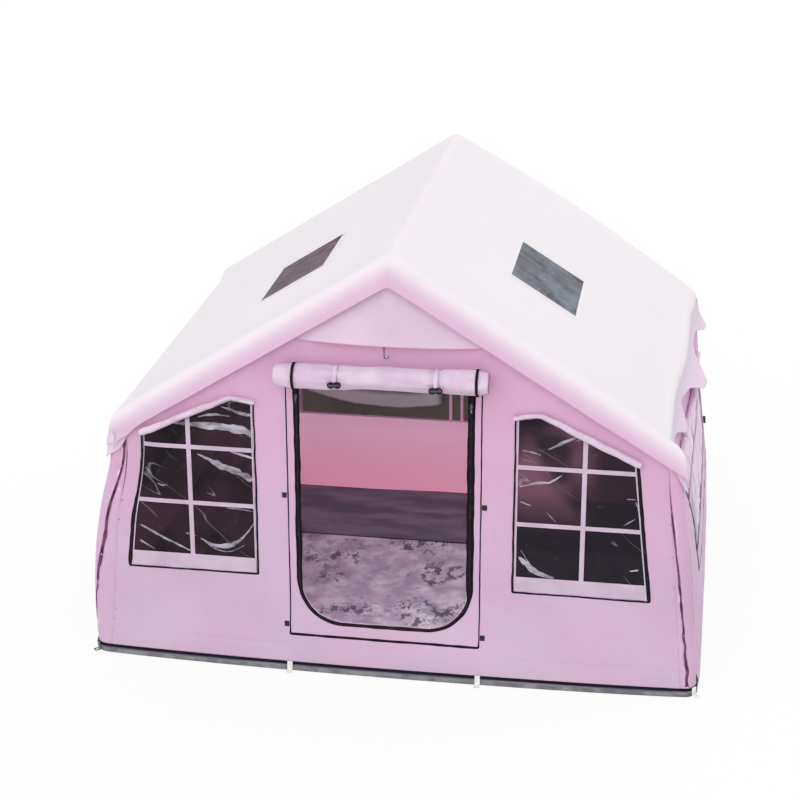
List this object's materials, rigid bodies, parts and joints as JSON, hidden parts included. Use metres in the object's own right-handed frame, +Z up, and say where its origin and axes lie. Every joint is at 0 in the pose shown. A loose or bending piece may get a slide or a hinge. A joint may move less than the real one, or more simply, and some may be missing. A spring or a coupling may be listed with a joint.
{
  "type": "inflatable tent",
  "caption": "House-shaped inflatable tent with a gabled roof over air beams, a zipped doorway, barred film windows, rolled covers and a tub floor.",
  "frame": {"origin": "middle of the base, on the ground", "axes": "+Z up, -Y out of the door, +X to the right of someone who looks at the door"},
  "size_m": [3.0342, 2.5244, 2.15],
  "materials": {
    "air_beam": "semi-gloss airtight film",
    "roof_fabric": "matte coated polyester, white fading to pink at the rolled edge",
    "wall_fabric": "matte coated polyester, pink",
    "rolled_cover": "matte coated polyester, pink",
    "clear_film": "glossy, slightly crumpled clear film",
    "zip_tape": "matte black coil zip tape",
    "tub_fabric": "matte coated polyester, dark grey",
    "mat": "mottled lilac grey pile",
    "webbing": "woven webbing, pale grey",
    "black_plastic": "satin black",
    "valve_white": "satin off-white",
    "zip_metal": "dark enamel"
  },
  "bodies": {
    "tent": {"arch_front": "air_beam", "arch_rear": "air_beam", "ridge_beam": "air_beam", "eave_beam_left": "air_beam", "eave_beam_right": "air_beam", "roof_canopy": "roof_fabric", "valance_left": "roof_fabric", "valance_right": "roof_fabric", "sleeve_front_left": "wall_fabric", "sleeve_front_right": "wall_fabric", "sleeve_rear_left": "wall_fabric", "sleeve_rear_right": "wall_fabric", "wall_front_left": "wall_fabric", "wall_front_right": "wall_fabric", "wall_front_header": "wall_fabric", "wall_front_sill": "wall_fabric", "door_panel": "wall_fabric", "wall_left": "wall_fabric", "wall_right": "wall_fabric", "wall_rear": "wall_fabric", "gable_flap_front": "wall_fabric", "gable_flap_rear": "wall_fabric", "door_roll": "rolled_cover", "door_tie_left": "rolled_cover", "door_tie_right": "rolled_cover", "window_roll_front_left": "rolled_cover", "window_roll_front_right": "rolled_cover", "window_roll_left": "rolled_cover", "window_roll_right": "rolled_cover", "window_roll_rear": "rolled_cover", "window_film_front_left": "clear_film", "window_film_front_right": "clear_film", "window_film_left": "clear_film", "window_film_right": "clear_film", "window_film_rear": "clear_film", "skylight_left": "clear_film", "skylight_right": "clear_film", "door_zip": "zip_tape", "door_edge_zip": "zip_tape", "window_zip_front_left": "zip_tape", "window_zip_front_right": "zip_tape", "window_zip_left": "zip_tape", "window_zip_right": "zip_tape", "window_zip_rear": "zip_tape", "floor_tub": "tub_fabric", "floor_mat": "mat", "base_webbing_front": "webbing", "base_webbing_rear": "webbing", "base_webbing_left": "webbing", "base_webbing_right": "webbing", "valve_body": "black_plastic", "door_toggle_left": "black_plastic", "door_toggle_right": "black_plastic"},
    "slider_left": {"zip_slider_left": "zip_metal"},
    "slider_right": {"zip_slider_right": "zip_metal"},
    "pull_left": {"zip_pull_left": "zip_metal"},
    "pull_right": {"zip_pull_right": "zip_metal"},
    "cap": {"valve_cap": "black_plastic"},
    "plunger": {"valve_plunger": "valve_white"},
    "hook": {"lamp_hook": "black_plastic"}
  },
  "joints": [
    {"name": "zip_slide_left", "type": "slide", "parent": "tent", "child": "slider_left", "axis": [0, -0.0248, -0.9997], "range_m": [-0.015, 0.931]},
    {"name": "pull_swing_left", "type": "hinge", "parent": "slider_left", "child": "pull_left", "pos_m": [-0.4445, -1.17205, 1.43582], "axis": [-1, 0, 0], "range_deg": [0, 150]},
    {"name": "zip_slide_right", "type": "slide", "parent": "tent", "child": "slider_right", "axis": [0, -0.0248, -0.9997], "range_m": [-0.015, 0.931]},
    {"name": "pull_swing_right", "type": "hinge", "parent": "slider_right", "child": "pull_right", "pos_m": [0.3905, -1.17205, 1.43582], "axis": [-1, 0, 0], "range_deg": [0, 150]},
    {"name": "hook_swing", "type": "hinge", "parent": "tent", "child": "hook", "pos_m": [-0.014, -1.19946, 1.71453], "axis": [0, 1, 0], "range_deg": [-60, 60]},
    {"name": "cap_turn", "type": "hinge", "parent": "tent", "child": "cap", "pos_m": [1.45753, 1.12831, 0.48595], "axis": [0.9955, 0, 0.0944], "range_deg": [0, 90]},
    {"name": "plunger_push", "type": "slide", "parent": "tent", "child": "plunger", "axis": [-0.9955, 0, -0.0944], "range_m": [0, 0.004], "stiffness_N_per_m": 300}
  ]
}
